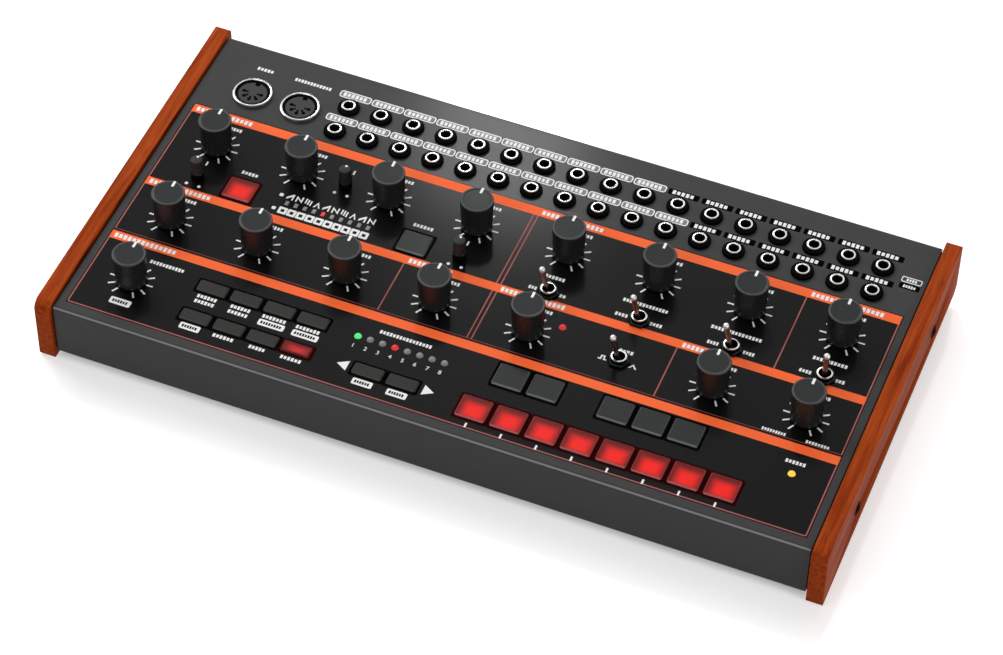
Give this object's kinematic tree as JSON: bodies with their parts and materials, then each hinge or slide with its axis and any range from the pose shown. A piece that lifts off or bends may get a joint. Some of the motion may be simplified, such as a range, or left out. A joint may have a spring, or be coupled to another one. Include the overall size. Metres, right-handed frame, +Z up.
{
  "type": "desktop synthesizer",
  "caption": "Desktop hybrid synthesizer: sheet-metal case between wooden cheeks, with turning knobs, toggles, lit push keys, lamps and a field of patch jacks.",
  "frame": {"origin": "middle of the object's footprint on the table", "axes": "+X to the player's right, +Y to the back, +Z up"},
  "size_m": [0.3218, 0.1652, 0.0439],
  "materials": {
    "stained_wood": "orange-brown stain under satin lacquer",
    "panel_paint": "dark grey powder coat with printed graphics",
    "tray_paint": "dark powder coat",
    "board_and_switchgear": "green solder mask, black switch bodies, nickel toggle bushings",
    "jack_nickel": "nickel-plated bush on a black body",
    "socket_plastic": "black insulators, nickel rings and shell",
    "lamp_resin": "diffused resin; some lamps lit red, green or amber",
    "black_steel": "black nuts and screws",
    "foot_rubber": "moulded rubber",
    "knob_plastic": "charcoal top, glossy black side, white pointer",
    "trim_plastic": "moulded charcoal",
    "toggle_chrome": "polished plate",
    "dark_key": "dark silicone-like cap",
    "lit_key": "translucent red cap lit from below",
    "rocker_plastic": "gloss moulding"
  },
  "bodies": {
    "case": {"left_cheek": "stained_wood", "right_cheek": "stained_wood", "top_cover": "panel_paint", "bottom_tray": "tray_paint", "control_board": "board_and_switchgear", "jack_sockets": "jack_nickel", "cable_sockets": "socket_plastic", "lamps": "lamp_resin", "screws_and_nuts": "black_steel", "rubber_feet": "foot_rubber"},
    "knob_back_1": {"knob_back_1": "knob_plastic"},
    "knob_back_2": {"knob_back_2": "knob_plastic"},
    "knob_back_3": {"knob_back_3": "knob_plastic"},
    "knob_back_4": {"knob_back_4": "knob_plastic"},
    "knob_back_5": {"knob_back_5": "knob_plastic"},
    "knob_back_6": {"knob_back_6": "knob_plastic"},
    "knob_back_7": {"knob_back_7": "knob_plastic"},
    "knob_back_8": {"knob_back_8": "knob_plastic"},
    "knob_middle_1": {"knob_middle_1": "knob_plastic"},
    "knob_middle_2": {"knob_middle_2": "knob_plastic"},
    "knob_middle_3": {"knob_middle_3": "knob_plastic"},
    "knob_middle_4": {"knob_middle_4": "knob_plastic"},
    "knob_middle_5": {"knob_middle_5": "knob_plastic"},
    "knob_middle_7": {"knob_middle_7": "knob_plastic"},
    "knob_middle_8": {"knob_middle_8": "knob_plastic"},
    "knob_front_1": {"knob_front_1": "knob_plastic"},
    "trim_knob_1": {"trim_knob_1": "trim_plastic"},
    "trim_knob_2": {"trim_knob_2": "trim_plastic"},
    "trim_knob_3": {"trim_knob_3": "trim_plastic"},
    "toggle_lever_1": {"toggle_lever_1": "toggle_chrome"},
    "toggle_lever_2": {"toggle_lever_2": "toggle_chrome"},
    "toggle_lever_3": {"toggle_lever_3": "toggle_chrome"},
    "toggle_lever_4": {"toggle_lever_4": "toggle_chrome"},
    "toggle_lever_5": {"toggle_lever_5": "toggle_chrome"},
    "key_bank": {"key_bank": "lit_key"},
    "key_model": {"key_model": "dark_key"},
    "key_square_1": {"key_square_1": "dark_key"},
    "key_square_2": {"key_square_2": "dark_key"},
    "key_square_3": {"key_square_3": "dark_key"},
    "key_square_4": {"key_square_4": "dark_key"},
    "key_square_5": {"key_square_5": "dark_key"},
    "key_step_1": {"key_step_1": "lit_key"},
    "key_step_2": {"key_step_2": "lit_key"},
    "key_step_3": {"key_step_3": "lit_key"},
    "key_step_4": {"key_step_4": "lit_key"},
    "key_step_5": {"key_step_5": "lit_key"},
    "key_step_6": {"key_step_6": "lit_key"},
    "key_step_7": {"key_step_7": "lit_key"},
    "key_step_8": {"key_step_8": "lit_key"},
    "key_small_1": {"key_small_1": "dark_key"},
    "key_small_2": {"key_small_2": "dark_key"},
    "key_small_3": {"key_small_3": "dark_key"},
    "key_small_4": {"key_small_4": "dark_key"},
    "key_small_5": {"key_small_5": "dark_key"},
    "key_small_6": {"key_small_6": "dark_key"},
    "key_small_7": {"key_small_7": "dark_key"},
    "key_small_8": {"key_small_8": "lit_key"},
    "key_small_9": {"key_small_9": "dark_key"},
    "key_small_10": {"key_small_10": "dark_key"},
    "power_rocker": {"power_rocker": "rocker_plastic"}
  },
  "joints": [
    {"name": "knob_back_1_turn", "type": "hinge", "parent": "case", "child": "knob_back_1", "pos_m": [-0.1311, 0.0206, 0.0285], "axis": [0, 0, -1], "range_deg": [-150, 150]},
    {"name": "knob_back_2_turn", "type": "hinge", "parent": "case", "child": "knob_back_2", "pos_m": [-0.0938, 0.0206, 0.0285], "axis": [0, 0, -1], "range_deg": [-150, 150]},
    {"name": "knob_back_3_turn", "type": "hinge", "parent": "case", "child": "knob_back_3", "pos_m": [-0.0565, 0.0206, 0.0285], "axis": [0, 0, -1], "range_deg": [-150, 150]},
    {"name": "knob_back_4_turn", "type": "hinge", "parent": "case", "child": "knob_back_4", "pos_m": [-0.0192, 0.0206, 0.0285], "axis": [0, 0, -1], "range_deg": [-150, 150]},
    {"name": "knob_back_5_turn", "type": "hinge", "parent": "case", "child": "knob_back_5", "pos_m": [0.0192, 0.0206, 0.0285], "axis": [0, 0, -1], "range_deg": [-150, 150]},
    {"name": "knob_back_6_turn", "type": "hinge", "parent": "case", "child": "knob_back_6", "pos_m": [0.0565, 0.0206, 0.0285], "axis": [0, 0, -1], "range_deg": [-150, 150]},
    {"name": "knob_back_7_turn", "type": "hinge", "parent": "case", "child": "knob_back_7", "pos_m": [0.0938, 0.0206, 0.0285], "axis": [0, 0, -1], "range_deg": [-150, 150]},
    {"name": "knob_back_8_turn", "type": "hinge", "parent": "case", "child": "knob_back_8", "pos_m": [0.1311, 0.0206, 0.0285], "axis": [0, 0, -1], "range_deg": [-150, 150]},
    {"name": "knob_middle_1_turn", "type": "hinge", "parent": "case", "child": "knob_middle_1", "pos_m": [-0.1311, -0.0222, 0.0285], "axis": [0, 0, -1], "range_deg": [-150, 150]},
    {"name": "knob_middle_2_turn", "type": "hinge", "parent": "case", "child": "knob_middle_2", "pos_m": [-0.0938, -0.0222, 0.0285], "axis": [0, 0, -1], "range_deg": [-150, 150]},
    {"name": "knob_middle_3_turn", "type": "hinge", "parent": "case", "child": "knob_middle_3", "pos_m": [-0.0565, -0.0222, 0.0285], "axis": [0, 0, -1], "range_deg": [-150, 150]},
    {"name": "knob_middle_4_turn", "type": "hinge", "parent": "case", "child": "knob_middle_4", "pos_m": [-0.0192, -0.0222, 0.0285], "axis": [0, 0, -1], "range_deg": [-150, 150]},
    {"name": "knob_middle_5_turn", "type": "hinge", "parent": "case", "child": "knob_middle_5", "pos_m": [0.0192, -0.0222, 0.0285], "axis": [0, 0, -1], "range_deg": [-150, 150]},
    {"name": "knob_middle_7_turn", "type": "hinge", "parent": "case", "child": "knob_middle_7", "pos_m": [0.0938, -0.0222, 0.0285], "axis": [0, 0, -1], "range_deg": [-150, 150]},
    {"name": "knob_middle_8_turn", "type": "hinge", "parent": "case", "child": "knob_middle_8", "pos_m": [0.1311, -0.0222, 0.0285], "axis": [0, 0, -1], "range_deg": [-150, 150]},
    {"name": "knob_front_1_turn", "type": "hinge", "parent": "case", "child": "knob_front_1", "pos_m": [-0.1311, -0.0568, 0.0285], "axis": [0, 0, -1], "range_deg": [-150, 150]},
    {"name": "trim_knob_1_turn", "type": "hinge", "parent": "case", "child": "trim_knob_1", "pos_m": [-0.1311, 0.0028, 0.0285], "axis": [0, 0, -1], "range_deg": [-150, 150]},
    {"name": "trim_knob_2_turn", "type": "hinge", "parent": "case", "child": "trim_knob_2", "pos_m": [-0.07515, 0.0206, 0.0285], "axis": [0, 0, -1], "range_deg": [-150, 150]},
    {"name": "trim_knob_3_turn", "type": "hinge", "parent": "case", "child": "trim_knob_3", "pos_m": [-0.0192, 0.0028, 0.0285], "axis": [0, 0, -1], "range_deg": [-150, 150]},
    {"name": "toggle_lever_1_tilt", "type": "hinge", "parent": "case", "child": "toggle_lever_1", "pos_m": [0.0192, -0.0008, 0.0274], "axis": [0, 1, 0], "range_deg": [0, 24]},
    {"name": "toggle_lever_2_tilt", "type": "hinge", "parent": "case", "child": "toggle_lever_2", "pos_m": [0.0565, -0.0008, 0.0274], "axis": [0, 1, 0], "range_deg": [0, 24]},
    {"name": "toggle_lever_3_tilt", "type": "hinge", "parent": "case", "child": "toggle_lever_3", "pos_m": [0.0938, -0.0008, 0.0274], "axis": [0, 1, 0], "range_deg": [0, 24]},
    {"name": "toggle_lever_4_tilt", "type": "hinge", "parent": "case", "child": "toggle_lever_4", "pos_m": [0.1311, -0.0008, 0.0274], "axis": [0, 1, 0], "range_deg": [-12, 12]},
    {"name": "toggle_lever_5_tilt", "type": "hinge", "parent": "case", "child": "toggle_lever_5", "pos_m": [0.0565, -0.0228, 0.0274], "axis": [0, 1, 0], "range_deg": [0, 24]},
    {"name": "key_bank_press", "type": "slide", "parent": "case", "child": "key_bank", "axis": [0, 0, -1], "range_m": [0, 0.0009], "stiffness_N_per_m": 600, "springref_m": -0.0004},
    {"name": "key_model_press", "type": "slide", "parent": "case", "child": "key_model", "axis": [0, 0, -1], "range_m": [0, 0.0009], "stiffness_N_per_m": 600, "springref_m": -0.0004},
    {"name": "key_square_1_press", "type": "slide", "parent": "case", "child": "key_square_1", "axis": [0, 0, -1], "range_m": [0, 0.0009], "stiffness_N_per_m": 600, "springref_m": -0.0004},
    {"name": "key_square_2_press", "type": "slide", "parent": "case", "child": "key_square_2", "axis": [0, 0, -1], "range_m": [0, 0.0009], "stiffness_N_per_m": 600, "springref_m": -0.0004},
    {"name": "key_square_3_press", "type": "slide", "parent": "case", "child": "key_square_3", "axis": [0, 0, -1], "range_m": [0, 0.0009], "stiffness_N_per_m": 600, "springref_m": -0.0004},
    {"name": "key_square_4_press", "type": "slide", "parent": "case", "child": "key_square_4", "axis": [0, 0, -1], "range_m": [0, 0.0009], "stiffness_N_per_m": 600, "springref_m": -0.0004},
    {"name": "key_square_5_press", "type": "slide", "parent": "case", "child": "key_square_5", "axis": [0, 0, -1], "range_m": [0, 0.0009], "stiffness_N_per_m": 600, "springref_m": -0.0004},
    {"name": "key_step_1_press", "type": "slide", "parent": "case", "child": "key_step_1", "axis": [0, 0, -1], "range_m": [0, 0.0009], "stiffness_N_per_m": 600, "springref_m": -0.0004},
    {"name": "key_step_2_press", "type": "slide", "parent": "case", "child": "key_step_2", "axis": [0, 0, -1], "range_m": [0, 0.0009], "stiffness_N_per_m": 600, "springref_m": -0.0004},
    {"name": "key_step_3_press", "type": "slide", "parent": "case", "child": "key_step_3", "axis": [0, 0, -1], "range_m": [0, 0.0009], "stiffness_N_per_m": 600, "springref_m": -0.0004},
    {"name": "key_step_4_press", "type": "slide", "parent": "case", "child": "key_step_4", "axis": [0, 0, -1], "range_m": [0, 0.0009], "stiffness_N_per_m": 600, "springref_m": -0.0004},
    {"name": "key_step_5_press", "type": "slide", "parent": "case", "child": "key_step_5", "axis": [0, 0, -1], "range_m": [0, 0.0009], "stiffness_N_per_m": 600, "springref_m": -0.0004},
    {"name": "key_step_6_press", "type": "slide", "parent": "case", "child": "key_step_6", "axis": [0, 0, -1], "range_m": [0, 0.0009], "stiffness_N_per_m": 600, "springref_m": -0.0004},
    {"name": "key_step_7_press", "type": "slide", "parent": "case", "child": "key_step_7", "axis": [0, 0, -1], "range_m": [0, 0.0009], "stiffness_N_per_m": 600, "springref_m": -0.0004},
    {"name": "key_step_8_press", "type": "slide", "parent": "case", "child": "key_step_8", "axis": [0, 0, -1], "range_m": [0, 0.0009], "stiffness_N_per_m": 600, "springref_m": -0.0004},
    {"name": "key_small_1_press", "type": "slide", "parent": "case", "child": "key_small_1", "axis": [0, 0, -1], "range_m": [0, 0.0009], "stiffness_N_per_m": 600, "springref_m": -0.0004},
    {"name": "key_small_2_press", "type": "slide", "parent": "case", "child": "key_small_2", "axis": [0, 0, -1], "range_m": [0, 0.0009], "stiffness_N_per_m": 600, "springref_m": -0.0004},
    {"name": "key_small_3_press", "type": "slide", "parent": "case", "child": "key_small_3", "axis": [0, 0, -1], "range_m": [0, 0.0009], "stiffness_N_per_m": 600, "springref_m": -0.0004},
    {"name": "key_small_4_press", "type": "slide", "parent": "case", "child": "key_small_4", "axis": [0, 0, -1], "range_m": [0, 0.0009], "stiffness_N_per_m": 600, "springref_m": -0.0004},
    {"name": "key_small_5_press", "type": "slide", "parent": "case", "child": "key_small_5", "axis": [0, 0, -1], "range_m": [0, 0.0009], "stiffness_N_per_m": 600, "springref_m": -0.0004},
    {"name": "key_small_6_press", "type": "slide", "parent": "case", "child": "key_small_6", "axis": [0, 0, -1], "range_m": [0, 0.0009], "stiffness_N_per_m": 600, "springref_m": -0.0004},
    {"name": "key_small_7_press", "type": "slide", "parent": "case", "child": "key_small_7", "axis": [0, 0, -1], "range_m": [0, 0.0009], "stiffness_N_per_m": 600, "springref_m": -0.0004},
    {"name": "key_small_8_press", "type": "slide", "parent": "case", "child": "key_small_8", "axis": [0, 0, -1], "range_m": [0, 0.0009], "stiffness_N_per_m": 600, "springref_m": -0.0004},
    {"name": "key_small_9_press", "type": "slide", "parent": "case", "child": "key_small_9", "axis": [0, 0, -1], "range_m": [0, 0.0009], "stiffness_N_per_m": 600, "springref_m": -0.0004},
    {"name": "key_small_10_press", "type": "slide", "parent": "case", "child": "key_small_10", "axis": [0, 0, -1], "range_m": [0, 0.0009], "stiffness_N_per_m": 600, "springref_m": -0.0004},
    {"name": "power_rocker_tilt", "type": "hinge", "parent": "case", "child": "power_rocker", "pos_m": [0.138, 0.0772, 0.02165], "axis": [1, 0, 0], "range_deg": [-14, 0]}
  ]
}
